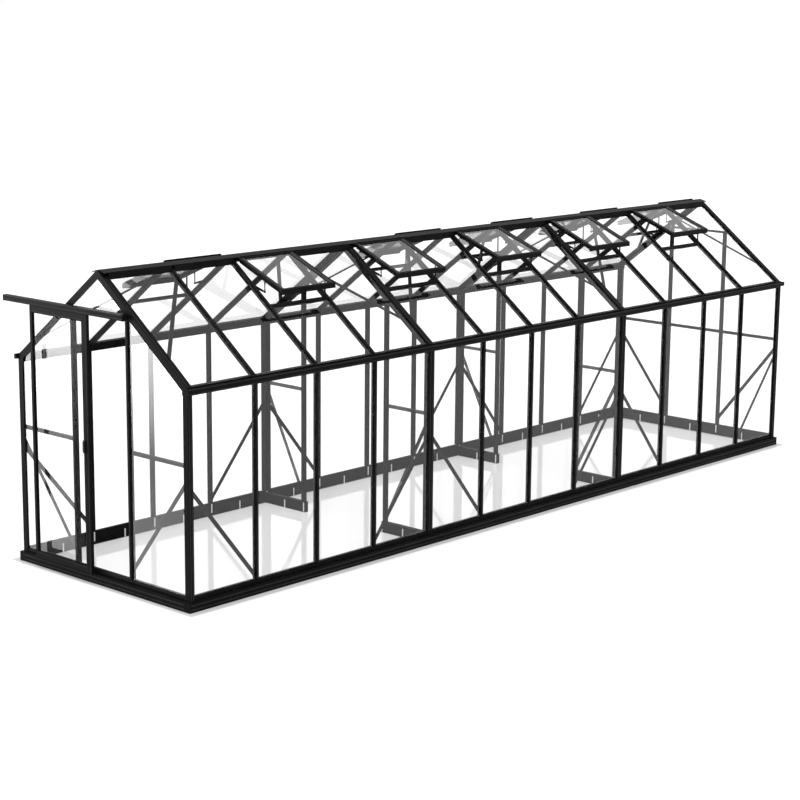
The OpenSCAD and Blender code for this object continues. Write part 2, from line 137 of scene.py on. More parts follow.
def moulded_plastic(name, colour, roughness, shine):
    """Nylon, moulded with a fine spark finish: matt, with a grain under a millimetre."""
    mat, tree, out = new_material(name)
    place = add_node(tree, "ShaderNodeTexCoord").outputs["Object"]
    grain = add_node(tree, "ShaderNodeTexNoise", Vector=place, Scale=900.0, Detail=2.0)
    bump = add_node(tree, "ShaderNodeBump", Strength=0.2, Distance=0.0002,
                    Height=grain.outputs["Fac"])
    skin = add_node(tree, "ShaderNodeBsdfPrincipled", Base_Color=from_hex(colour),
                    Roughness=roughness, Normal=bump.outputs[0], Specular_IOR_Level=shine)
    tree.links.new(skin.outputs[0], out.inputs["Surface"])
    return mat


def rubber_seal(name, colour):
    """Extruded EPDM rubber: dead black and matt, with a faint drag along its length."""
    mat, tree, out = new_material(name)
    place = add_node(tree, "ShaderNodeTexCoord").outputs["Object"]
    drag = add_node(tree, "ShaderNodeTexNoise", Vector=place, Scale=120.0, Detail=2.0)
    rough = add_node(tree, "ShaderNodeMapRange", Value=drag.outputs["Fac"],
                     To_Min=0.7, To_Max=0.95)
    skin = add_node(tree, "ShaderNodeBsdfPrincipled", Base_Color=from_hex(colour),
                    Roughness=rough.outputs[0], Specular_IOR_Level=0.1)
    tree.links.new(skin.outputs[0], out.inputs["Surface"])
    return mat


# One powder coat on all the sections. The ribs and beads are painted lighter, a painted
# highlight for the sky that their grooves and rounded edges catch, which is finer than their
# modelled shape.
FRAME_BLACK = powder_coat("black_powder_coat", "#0F0F10", "#191919", roughness=0.42)
BASE_BLACK = powder_coat("black_powder_coat_base", "#0E0E0F", "#171718", roughness=0.48)
RIB_COAT_PAINTED_HIGHLIGHT = powder_coat("black_powder_coat_ribs_painted_highlight", "#323233", "#3C3C3D", roughness=0.4)
BEAD_COAT_PAINTED_HIGHLIGHT = powder_coat("black_powder_coat_beads_painted_highlight", "#4C4C4E", "#565658", roughness=0.5)
# One float glass. Each group of panes has its own sheen, a painted reflection strength set to
# how bright its reflections look, and the vents' panes are painted darker where they are seen
# almost along their face.
WALL_PANE = clear_glass("float_glass_wall", sheen=1.0)
BACK_PANE = clear_glass("float_glass_back", sheen=1.7)
ROOF_PANE = clear_glass("float_glass_roof", sheen=0.85)
GABLE_PANE = clear_glass("float_glass_gable", sheen=1.9)
DOOR_PANE = clear_glass("float_glass_door", sheen=0.2)
VENT_PANE = clear_glass("float_glass_vent", sheen=1.2, edge_shade=0.8)
GRIP_BLACK = moulded_plastic("black_nylon", "#101010", roughness=0.6, shine=0.3)
TAB_WHITE = moulded_plastic("white_nylon", "#F2F2F0", roughness=0.45, shine=0.4)
SEAL_BLACK = rubber_seal("black_epdm", "#0C0C0C")

SLOT_FINISH = {"frame_coat": FRAME_BLACK, "base_coat": BASE_BLACK, "pane_glass": WALL_PANE,
               "grip_plastic": GRIP_BLACK}
PANE_FINISH = {"front_roof_glass": ROOF_PANE, "back_roof_glass": BACK_PANE,
               "back_wall_glass": BACK_PANE, "door_gable_glass": GABLE_PANE,
               "door_glass": DOOR_PANE, "front_vent_glass": VENT_PANE,
               "back_vent_glass": VENT_PANE}
for part in frame["record"]["subparts"]:
    cad_piece = nodes[part["node"]]
    cad_piece.data.materials.clear()
    cad_piece.data.materials.append(PANE_FINISH.get(part["node"],
                                                    SLOT_FINISH[part["material_slot"]]))


# ---------------------------------------------------------------- reading the frame
def solids_of(name):
    """The separate solids of a CAD node, each a list of its corner points, ordered along X.
    Corners within a tenth of a millimetre are one corner."""
    mesh = nodes[name].data
    keys = [tuple(round(c, 4) for c in v.co) for v in mesh.vertices]
    group = {k: k for k in keys}

    def top(k):
        while group[k] != k:
            group[k] = group[group[k]]
            k = group[k]
        return k

    for poly in mesh.polygons:
        first = top(keys[poly.vertices[0]])
        for i in poly.vertices[1:]:
            group[top(keys[i])] = first
    found = {}
    for k in set(keys):
        found.setdefault(top(k), []).append(Vector(k))
    return sorted(found.values(), key=lambda pts: (min(p.x for p in pts), min(p.y for p in pts)))


def box_of(points):
    """The lowest and highest corner of a list of points."""
    return (Vector([min(p[i] for p in points) for i in range(3)]),
            Vector([max(p[i] for p in points) for i in range(3)]))


def boxes_of(name):
    """The lowest and highest corners of each of a CAD node's solids."""
    return [box_of(points) for points in solids_of(name)]


def outer_face(low, high):
    """Which way a wall's solid looks out of the house, -1 or 1 along Y, and where it ends."""
    return (-1, low.y) if low.y < 0 else (1, high.y)


def ends_of(points):
    """The middles of a long solid's two ends."""
    low, high = box_of(points)
    long_way = max(range(3), key=lambda i: high[i] - low[i])
    end_slack = 2 * MM
    near = [p for p in points if p[long_way] < low[long_way] + end_slack]
    far = [p for p in points if p[long_way] > high[long_way] - end_slack]
    return sum(near, Vector()) / len(near), sum(far, Vector()) / len(far)


# ---------------------------------------------------------------- modelling
def start_box(name, low, high):
    """A box primitive at its size and place, its origin at the world's."""
    bpy.ops.object.select_all(action="DESELECT")
    low, high = Vector(low), Vector(high)
    bpy.ops.mesh.primitive_cube_add(size=1, location=(low + high) / 2)
    piece = bpy.context.object
    piece.name = name
    piece.scale = high - low
    bpy.ops.object.transform_apply(location=True, rotation=True, scale=True)
    return piece


def start_rod(name, foot, way, radius, length, sides):
    """A cylinder primitive that runs from a point in a direction."""
    bpy.ops.object.select_all(action="DESELECT")
    way = Vector(way).normalized()
    bpy.ops.mesh.primitive_cylinder_add(vertices=sides, radius=radius, depth=length,
                                        location=Vector(foot) + way * length / 2,
                                        rotation=way.to_track_quat("Z", "Y").to_euler())
    piece = bpy.context.object
    piece.name = name
    bpy.ops.object.transform_apply(location=True, rotation=True, scale=True)
    return piece


def only(piece):
    """Nothing selected but this piece, which is the active one."""
    bpy.ops.object.select_all(action="DESELECT")
    bpy.context.view_layer.objects.active = piece
    piece.select_set(True)


def pick(piece, test):
    """Edit mode with only the faces that pass the test selected."""
    only(piece)
    bpy.ops.object.mode_set(mode="EDIT")
    bpy.context.tool_settings.mesh_select_mode = (False, False, True)
    bpy.ops.mesh.select_all(action="DESELECT")
    mesh = bmesh.from_edit_mesh(piece.data)
    for face in mesh.faces:
        face.select_set(test(face))
    bmesh.update_edit_mesh(piece.data)


def leave_edit():
    """Back to object mode, with the edits kept."""
    bpy.ops.object.mode_set(mode="OBJECT")


def facing(direction):
    """A test for faces that look in a direction, give or take 25 degrees."""
    way = Vector(direction).normalized()
    return lambda face: face.normal.dot(way) > math.cos(math.radians(25))


def pull(distance):
    """Extrude the selected faces along a vector."""
    bpy.ops.mesh.extrude_region_move(TRANSFORM_OT_translate={"value": Vector(distance)})


def soften(piece, width):
    """Broken edges all over, as a modifier that is applied."""
    only(piece)
    rounding = piece.modifiers.new("rounding", "BEVEL")
    rounding.width = width
    rounding.segments = 1
    rounding.limit_method = "ANGLE"
    bpy.ops.object.modifier_apply(modifier=rounding.name)


def set_copies(piece, places):
    """The piece copied to every place, a matrix each, all joined under its own name."""
    name = piece.name
    model = piece.data.copy()
    parts = []
    for place in places:
        mesh = model.copy()
        mesh.transform(place)
        if place.determinant() < 0:
            mesh.flip_normals()
        part = bpy.data.objects.new(name + "_part", mesh)
        scene.collection.objects.link(part)
        parts.append(part)
    bpy.data.objects.remove(piece)
    bpy.ops.object.select_all(action="DESELECT")
    for part in parts:
        part.select_set(True)
    bpy.context.view_layer.objects.active = parts[0]
    if len(parts) > 1:
        bpy.ops.object.join()
    parts[0].name = name
    return parts[0]


def finish_piece(piece, body, material, smooth=None):
    """The piece takes its material and the body that carries it; smooth is the
    angle in degrees up to which its edges are shaded round."""
    piece.data.materials.clear()
    piece.data.materials.append(material)
    if smooth:
        only(piece)
        bpy.ops.object.shade_smooth_by_angle(angle=math.radians(smooth))
    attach(piece, body)


def moved(x, y, z):
    """A matrix that only moves."""
    return Matrix.Translation((x, y, z))


def facing_frame(place, out, up):
    """A matrix that sets a part modelled at the origin, facing -Y with Z up, on a surface."""
    back = -Vector(out).normalized()
    up = Vector(up).normalized()
    side = back.cross(up).normalized()
    up = side.cross(back)
    turn = Matrix((side, back, up)).transposed().to_4x4()
    return Matrix.Translation(place) @ turn


def rib_frame(start, out, way, length):
    """A matrix that sets a rib one metre tall at its start, facing out of its surface, and
    stretches it to a length along its way."""
    return facing_frame(start, out, way) @ Matrix.Diagonal((1, 1, length, 1))


# ---------------------------------------------------------------- sizes from the frame
base_low, base_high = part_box("front_base_rail")
gable_rail_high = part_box("gable_base_rails")[1]
house_half = base_high[0]
half_width = -base_low[1]
rail_depth = base_high[1] - base_low[1]
wall_uprights = boxes_of("front_wall_bars") + boxes_of("front_portal_posts")
uprights = sorted((low.x + high.x) / 2 for low, high in wall_uprights)
bay_edges = [-house_half + rail_depth] + uprights + [house_half - rail_depth]
bay_middles = [(a + b) / 2 for a, b in zip(bay_edges, bay_edges[1:])]
gable_posts = sorted((low.y + high.y) / 2 for low, high in boxes_of("door_gable_bars"))
gable_edges = [-half_width + rail_depth] + gable_posts + [half_width - rail_depth]
gable_middles = [(a + b) / 2 for a, b in zip(gable_edges, gable_edges[1:])]
roof_face = max(nodes["front_roof_glass"].data.polygons, key=lambda p: p.area * (p.normal.z > 0))
front_slope = Vector(roof_face.normal)
roof_rise = abs(front_slope.y / front_slope.z)


# ---------------------------------------------------------------- base rail tabs
def make_base_tabs():
    """White nylon tabs that key the base rail: a high one at every upright and a low one
    in the middle of every bay, on the inner faces of the rails and the partitions' rails."""
    wide, thick, tall = 13 * MM, 4 * MM, 86 * MM
    high_foot, low_foot = 26 * MM, -8 * MM
    model = start_box("base_tabs", (-wide / 2, -thick, 0), (wide / 2, 0, tall))
    pick(model, facing((0, -1, 0)))
    bpy.ops.mesh.inset(thickness=2.5 * MM)
    pull((0, -2 * MM, 0))
    leave_edit()
    soften(model, 0.8 * MM)
    places = []
    inner = half_width - rail_depth
    end = house_half - rail_depth
    for row, foot in ((uprights, high_foot), (bay_middles, low_foot)):
        for x in row:
            places += [facing_frame((x, inner, foot), (0, -1, 0), UP),
                       facing_frame((x, -inner, foot), (0, 1, 0), UP)]
    for side in (-1, 1):
        for row, foot in ((gable_posts, high_foot), (gable_middles, low_foot)):
            for y in row:
                places.append(facing_frame((side * end, y, foot), (-side, 0, 0), UP))
    for low, high in boxes_of("partition_base_rails"):
        inner_end = min(abs(low.y), abs(high.y))
        outer_end = max(abs(low.y), abs(high.y))
        back = 1 if low.y > 0 else -1
        for x, way in ((low.x, -1), (high.x, 1)):
            for y, foot in (((inner_end + outer_end) / 2, low_foot),
                            (inner_end + 12 * MM, 8 * MM)):
                places.append(facing_frame((x, back * y, foot), (way, 0, 0), UP))
    tabs = set_copies(model, places)
    # the low tabs are cut off at the floor
    pick(tabs, lambda face: True)
    bpy.ops.mesh.bisect(plane_co=(0, 0, 0.5 * MM), plane_no=UP, use_fill=True,
                        clear_inner=True)
    leave_edit()
    finish_piece(tabs, "house", TAB_WHITE)


# ---------------------------------------------------------------- ribs on the sections
def upright_rib(name, wide, proud):
    """A rib one metre tall along Z, its back at y = 0, with a groove down its face."""
    rib = start_box(name, (-wide / 2, -proud, 0), (wide / 2, 0, 1))
    pick(rib, facing((0, -1, 0)))
    bpy.ops.mesh.inset(thickness=wide * 0.28)
    pull((0, proud * 0.6, 0))
    leave_edit()
    return rib


def make_wall_ribs():
    """The screw channels that run down the bars', posts' and corners' outer faces."""
    rib = upright_rib("wall_bar_ribs", 9 * MM, 1.2 * MM)
    short, under_rafter = 3 * MM, 37 * MM
    places = []
    for name, shares in (("front_wall_bars", (0.5,)), ("back_wall_bars", (0.5,)),
                         ("front_portal_posts", (0.27, 0.73)),
                         ("back_portal_posts", (0.27, 0.73)), ("corner_posts", (0.27, 0.73))):
        for low, high in boxes_of(name):
            out, y = outer_face(low, high)
            for share in shares:
                places.append(rib_frame((low.x + (high.x - low.x) * share, y, low.z + short),
                                        (0, out, 0), UP, high.z - low.z - 2 * short))
    for side, name in ((-1, "door_gable_bars"), (1, "far_gable_bars")):
        for low, high in boxes_of(name):
            x = low.x if side < 0 else high.x
            places.append(rib_frame((x, (low.y + high.y) / 2, low.z + short), (side, 0, 0), UP,
                                    high.z - low.z - short - under_rafter))
    finish_piece(set_copies(rib, places), "house", RIB_COAT_PAINTED_HIGHLIGHT)


def make_roof_ribs():
    """Capping ribs along the rafters and roof bars, from the eave to under the ridge cap."""
    rib = upright_rib("rafter_ribs", 8 * MM, 1.5 * MM)
    cap_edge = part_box("ridge_beam")[1][1]
    short = 4 * MM
    places = []
    for name, shares in (("front_roof_bars", (0.5,)), ("back_roof_bars", (0.5,)),
                         ("front_portal_rafters", (0.25, 0.75)),
                         ("back_portal_rafters", (0.25, 0.75)),
                         ("front_gable_rafters", (0.3,)), ("back_gable_rafters", (0.3,))):
        for points in solids_of(name):
            low, high = box_of(points)
            back = low.y >= -1 * MM
            eave = high.y if back else low.y
            eave_z = max(p.z for p in points if abs(p.y - eave) < 2 * MM)
            out = Vector((0, -front_slope.y if back else front_slope.y, front_slope.z))
            up = (0, -front_slope.z if back else front_slope.z, abs(front_slope.y))
            run = abs(eave) - cap_edge - short
            length = run * math.sqrt(1 + roof_rise * roof_rise) - 2 * short
            for share in shares:
                start = (low.x + (high.x - low.x) * share, eave - math.copysign(short, eave),
                         eave_z + short * roof_rise)
                places.append(rib_frame(start, out, up, length))
    finish_piece(set_copies(rib, places), "house", RIB_COAT_PAINTED_HIGHLIGHT)


def make_level_ribs():
    """Grooved beads along the base rails, the eave beams and the gutters."""
    bead = upright_rib("level_ribs", 10 * MM, 1.5 * MM)
    base_heights = (22 * MM, 58 * MM)
    base_short, short = 15 * MM, 4 * MM
    gutter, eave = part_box("front_gutter"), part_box("eave_beams")
    places = []
    for s in (-1, 1):
        for z in base_heights:
            places.append(rib_frame((-house_half + base_short, s * half_width, z), (0, s, 0),
                                    (1, 0, 0), 2 * (house_half - base_short)))
        for (low, high), z in ((gutter, gutter[1][2] - 7 * MM), (eave, eave[0][2] + 8 * MM)):
            places.append(rib_frame((low[0] + short, s * -low[1], z), (0, s, 0), (1, 0, 0),
                                    high[0] - low[0] - 2 * short))
    gable_half = gable_rail_high[1] - short
    for side in (-1, 1):
        for z in base_heights:
            places.append(rib_frame((side * gable_rail_high[0], side * gable_half, z),
                                    (side, 0, 0), (0, -side, 0), 2 * gable_half))
    finish_piece(set_copies(bead, places), "house", RIB_COAT_PAINTED_HIGHLIGHT)


# ---------------------------------------------------------------- bolts
def bolt_head(name):
    """A dome-headed bolt, 12 mm across, facing -Y, with a washer under it."""
    head = start_rod(name, (0, 0, 0), (0, -1, 0), 6 * MM, 1.2 * MM, 10)
    pick(head, facing((0, -1, 0)))
    bpy.ops.mesh.inset(thickness=1.2 * MM)
    pull((0, -2.2 * MM, 0))
    bpy.ops.mesh.inset(thickness=1.6 * MM)
    pull((0, -0.9 * MM, 0))
    leave_edit()
    return head


def make_brace_bolts():
    """Bolts through both ends of every brace, on the side that faces into the house."""
    head = bolt_head("brace_bolts")
    from_end = 24 * MM
    places = []
    for name in ("wall_braces", "gable_braces", "roof_braces", "partition_braces"):
        for points in solids_of(name):
            low, high = box_of(points)
            a, b = ends_of(points)
            along = (b - a).normalized()
            if name == "roof_braces":
                out = Vector((0, front_slope.y if low.y > 0 else -front_slope.y,
                              -front_slope.z))
                lift = 2.5 * MM
            else:
                thin = min(range(3), key=lambda i: high[i] - low[i])
                out = Vector((0, 0, 0))
                out[thin] = -1.0 if (a + b)[thin] > 0 else 1.0
                lift = (high[thin] - low[thin]) / 2
            for point, way in ((a, along), (b, -along)):
                place = point + way * from_end + out * lift
                places.append(facing_frame(place, out, along.cross(out)))
    finish_piece(set_copies(head, places), "house", FRAME_BLACK)


def make_frame_bolts():
    """Bolts through the uprights' feet and heads, inside the walls but outside at the
    corners, and through the track."""
    head = bolt_head("frame_bolts")
    from_end = 16 * MM
    places = []
    for name in ("front_portal_posts", "back_portal_posts", "front_wall_bars",
                 "back_wall_bars"):
        for low, high in boxes_of(name):
            inside, y = (1, high.y) if low.y < 0 else (-1, low.y)
            for z in (low.z + 14 * MM, high.z - from_end):
                places.append(facing_frame(((low.x + high.x) / 2, y, z), (0, inside, 0), UP))
    for low, high in boxes_of("corner_posts"):
        out, y = outer_face(low, high)
        for z in (low.z + from_end, high.z - from_end):
            places.append(facing_frame(((low.x + high.x) / 2, y, z), (0, out, 0), UP))
    track_low, track_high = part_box("door_track")
    track_z = (track_low[2] + track_high[2]) / 2 + 9 * MM
    for y in gable_posts + [0]:
        places.append(facing_frame((track_low[0], y, track_z), (-1, 0, 0), UP))
    finish_piece(set_copies(head, places), "house", FRAME_BLACK)


# ---------------------------------------------------------------- vents
def vent_shapes():
    """Each vent's box, the side it is on (-1 in front), how far its upper edge is from the
    middle of the house, and its fall for a metre outwards."""
    found = []
    for name in ("front_vents", "back_vents"):
        for points in solids_of(name):
            low, high = box_of(points)
            side = -1 if high.y < 0 else 1
            inner, outer = sorted((abs(low.y), abs(high.y)))
            foot = max(p.z for p in points if abs(p.y) > outer - 1 * MM)
            found.append((low, high, side, inner, (high.z - foot) / (outer - inner)))
    return found


VENTS = vent_shapes()


def make_vent_hinges():
    """A hinge rail over the upper edge of each vent, a channel on the ridge cap's edge that
    is cut off on the slant at one end, and three hinge knuckles under it."""
    gap = 3 * MM
    cap_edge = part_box("ridge_beam")[1][1]
    ridge_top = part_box("ridge_beam")[1][2]
    low, high = VENTS[0][:2]
    rail = start_box("vent_hinge_rails", (0, -cap_edge - 6 * MM, ridge_top - 30 * MM),
                     (high.x - low.x - 2 * gap, -cap_edge + 14 * MM, ridge_top))
    pick(rail, facing(UP))
    bpy.ops.mesh.inset(thickness=5 * MM)
    pull((0, 0, -4 * MM))
    bpy.ops.mesh.select_all(action="SELECT")
    bpy.ops.mesh.bisect(plane_co=(20 * MM, 0, ridge_top), plane_no=(-1, 0, 1.3),
                        use_fill=True, clear_outer=True)
    leave_edit()
    # the front rails lie lower than the back ones
    seats = {-1: (-16 * MM, Matrix.Identity(4)), 1: (0, Matrix.Diagonal((1, -1, 1, 1)))}
    places = [moved(low.x + gap, 0, seats[side][0]) @ seats[side][1]
              for low, high, side, *_ in VENTS]
    finish_piece(set_copies(rail, places), "house", FRAME_BLACK)

    knuckle = start_rod("vent_hinges", (-20 * MM, 0, 0), (1, 0, 0), 4.5 * MM, 40 * MM, 10)
    pick(knuckle, lambda face: abs(face.normal.x) > 0.9)
    bpy.ops.mesh.inset(thickness=1.5 * MM, use_individual=True)
    leave_edit()
    soften(knuckle, 0.6 * MM)
    places = [moved(low.x + (high.x - low.x) * share, side * (cap_edge + 9 * MM),
                    high.z - 4 * MM)
              for low, high, side, *_ in VENTS for share in (0.12, 0.5, 0.88)]
    finish_piece(set_copies(knuckle, places), "house", FRAME_BLACK, smooth=40)


def make_vent_openers():
    """An opener to each vent: an arm with an eye at its foot, under the sash's side rail,
    and a spring cylinder that lies from the eye up along the roof bar."""
    arm_long = 86 * MM
    arm = start_box("vent_arms", (-6 * MM, -2 * MM, -arm_long), (6 * MM, 2 * MM, 0))
    pick(arm, facing((0, -1, 0)))
    bpy.ops.mesh.inset(thickness=3 * MM)
    pull((0, 1 * MM, 0))
    leave_edit()
    pick(arm, facing((0, 0, -1)))
    pull((0, 0, -7 * MM))
    bpy.ops.transform.resize(value=(1.7, 2.2, 1))
    pull((0, 0, -11 * MM))
    leave_edit()
    soften(arm, 1 * MM)
    cylinder = start_rod("vent_cylinders", (0, 0, 0), (0, 1, 0), 10 * MM, 100 * MM, 14)
    pick(cylinder, facing((0, -1, 0)))
    bpy.ops.mesh.inset(thickness=5 * MM)
    pull((0, -20 * MM, 0))
    leave_edit()
    pick(cylinder, facing((0, 1, 0)))
    bpy.ops.mesh.inset(thickness=3 * MM)
    pull((0, 8 * MM, 0))
    leave_edit()
    soften(cylinder, 1 * MM)
    arms, rods = [], []
    from_ridge = 0.4
    sash_depth = 34 * MM
    tilt = Matrix.Rotation(math.radians(17), 4, "X")
    for low, high, side, inner, fall in VENTS:
        x = low.x + 13 * MM if side < 0 else high.x - 13 * MM
        rail_z = high.z - (from_ridge - inner) * fall - sash_depth
        turn = Matrix.Identity(4) if side < 0 else Matrix.Rotation(math.pi, 4, "Z")
        arms.append(moved(x, side * from_ridge, rail_z) @ turn)
        rods.append(moved(x, side * (from_ridge - 22 * MM), rail_z - 90 * MM) @ turn @ tilt)
    finish_piece(set_copies(arm, arms), "house", FRAME_BLACK)
    finish_piece(set_copies(cylinder, rods), "house", FRAME_BLACK, smooth=40)


def make_sash_beads():
    """Glazing beads that clip over the pane along both side rails of each vent."""
    proud = 6 * MM
    bead = upright_rib("sash_beads", 26 * MM, proud)
    places = []
    for low, high, side, inner, fall in VENTS:
        start = inner + 24 * MM
        end = max(abs(low.y), abs(high.y)) - 21 * MM
        down = Vector((0, side, -fall)).normalized()
        out = Vector((0, side * fall, 1)).normalized()
        length = (end - start) * math.sqrt(1 + fall * fall)
        for x in (low.x + 37 * MM, high.x - 37 * MM):
            foot = Vector((x, side * start, high.z - (start - inner) * fall)) - out * proud
            places.append(rib_frame(foot, out, down, length))
    finish_piece(set_copies(bead, places), "house", BEAD_COAT_PAINTED_HIGHLIGHT)


def roof_height(y):
    """The height of the roof glass's outer face over a distance from the middle."""
    point = nodes["front_roof_glass"].data.vertices[roof_face.vertices[0]].co
    return point.z + (point.y + abs(y)) * front_slope.y / front_slope.z


def make_ridge_seals():
    """Sealing strips from the ridge cap's edges down to the roof glass, in the bays that
    have no vent."""
    cap_high = Vector(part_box("ridge_beam")[1])
    edge = cap_high.y
    strip = start_box("ridge_seals", (0, -edge + 2 * MM, roof_height(edge) - 3 * MM),
                      (1, -edge + 7 * MM, cap_high.z - 24 * MM))
    pick(strip, facing((0, -1, 0)))
    bpy.ops.mesh.inset(thickness=5 * MM)
    pull((0, -2 * MM, 0))
    leave_edit()
    bar_half = 16 * MM
    places = []
    for s in (-1, 1):
        for a, b in zip(bay_edges, bay_edges[1:]):
            if any(side == s and a < (low.x + high.x) / 2 < b
                   for low, high, side, *_ in VENTS):
                continue
            length = b - a - 2 * bar_half
            if s < 0:
                place = moved(a + bar_half, 0, 0)
            else:
                place = moved(b - bar_half, 0, 0) @ Matrix.Rotation(math.pi, 4, "Z")
            places.append(place @ Matrix.Diagonal((length, 1, 1, 1)))
    finish_piece(set_copies(strip, places), "house", FRAME_BLACK)


# ---------------------------------------------------------------- gutters, track and door
def make_gutter_ends():
    """Pressed end caps on both gutters, a little larger than the trough."""
    low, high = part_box("front_gutter")
    cap = start_box("gutter_ends", (low[0] - 2 * MM, low[1] - 1 * MM, low[2] - 1 * MM),
                    (low[0] + 1 * MM, high[1], high[2] + 1 * MM))
    pick(cap, facing((-1, 0, 0)))
    bpy.ops.mesh.inset(thickness=5 * MM)
    pull((1.2 * MM, 0, 0))
    leave_edit()
    soften(cap, 0.6 * MM)
    turns = [Matrix.Diagonal((sx, sy, 1, 1)) for sx in (1, -1) for sy in (1, -1)]
    finish_piece(set_copies(cap, turns), "house", FRAME_BLACK)


def make_track_trim():
    """The track's rolled top lip and lower bead, and a cap on each of its ends."""
    low, high = (Vector(c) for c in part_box("door_track"))
    lip = start_box("track_trim", (low.x - 2 * MM, low.y, high.z - 7 * MM),
                    (low.x, high.y, high.z))
    pick(lip, facing((-1, 0, 0)))
    bpy.ops.mesh.inset(thickness=1.8 * MM)
    pull((-1 * MM, 0, 0))
    leave_edit()
    to_bead = low.z - high.z + 16 * MM
    trim = set_copies(lip, [Matrix.Identity(4), moved(0, 0, to_bead)])
    finish_piece(trim, "house", RIB_COAT_PAINTED_HIGHLIGHT)
    end = start_box("track_ends", (low.x - 3 * MM, low.y - 3 * MM, low.z - 1 * MM),
                    (high.x, low.y, high.z + 1 * MM))
    pick(end, facing((0, -1, 0)))
    bpy.ops.mesh.inset(thickness=4 * MM)
    pull((0, 1 * MM, 0))
    leave_edit()
    soften(end, 0.8 * MM)
    mirrored = moved(0, low.y + high.y, 0) @ Matrix.Diagonal((1, -1, 1, 1))
    finish_piece(set_copies(end, [Matrix.Identity(4), mirrored]), "house", FRAME_BLACK)


def make_leaf_trim():
    """Grooved ribs down the leaf's stiles and along its rails, and the seal round its pane."""
    low, high = (Vector(c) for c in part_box("door_frame"))
    glass_low, glass_high = (Vector(c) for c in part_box("door_glass"))
    rib = upright_rib("leaf_ribs", 7 * MM, 1.2 * MM)
    short = 6 * MM
    from_glass = 8 * MM
    places = []
    for y in (low.y + (glass_low.y - low.y) * 0.2, glass_low.y - 7 * MM,
              glass_high.y + (high.y - glass_high.y) * 0.5):
        places.append(rib_frame((low.x, y, low.z + short), (-1, 0, 0), UP,
                                high.z - low.z - 2 * short))
    for z in (glass_low.z - from_glass, glass_high.z + from_glass):
        places.append(rib_frame((low.x, glass_low.y, z), (-1, 0, 0), (0, 1, 0),
                                glass_high.y - glass_low.y))
    finish_piece(set_copies(rib, places), "door", RIB_COAT_PAINTED_HIGHLIGHT)

    seal = start_box("leaf_seal", (glass_low.x - 3 * MM, glass_low.y, glass_low.z),
                     (glass_low.x, glass_high.y, glass_high.z))
    # a hole through both faces, then its four walls
    for way in (-1, 1):
        pick(seal, facing((way, 0, 0)))
        bpy.ops.mesh.inset(thickness=7 * MM)
        bpy.ops.mesh.delete(type="FACE")
        leave_edit()
    pick(seal, lambda face: False)
    bpy.ops.mesh.select_mode(type="EDGE")
    bpy.ops.mesh.select_non_manifold()
    bpy.ops.mesh.bridge_edge_loops()
    bpy.ops.mesh.select_all(action="SELECT")
    bpy.ops.mesh.normals_make_consistent(inside=False)
    leave_edit()
    finish_piece(seal, "door", SEAL_BLACK)


make_base_tabs()
make_wall_ribs()
make_roof_ribs()
make_level_ribs()
make_brace_bolts()
make_frame_bolts()
make_vent_hinges()
make_vent_openers()
make_sash_beads()
make_ridge_seals()
make_gutter_ends()
make_track_trim()
make_leaf_trim()


# ---------------------------------------------------------------- floor, light, camera
def looks_on(tree):
    """1 where the camera, a reflection or a view through glass looks at the surface, and 0
    where the surface only lights others."""
    ray = add_node(tree, "ShaderNodeLightPath")
    first = add_node(tree, "ShaderNodeMath", {"operation": "MAXIMUM"},
                     i0=ray.outputs["Is Camera Ray"], i1=ray.outputs["Is Glossy Ray"])
    return add_node(tree, "ShaderNodeMath", {"operation": "MAXIMUM"}, i0=first.outputs[0],
                    i1=ray.outputs["Is Transmission Ray"]).outputs[0]


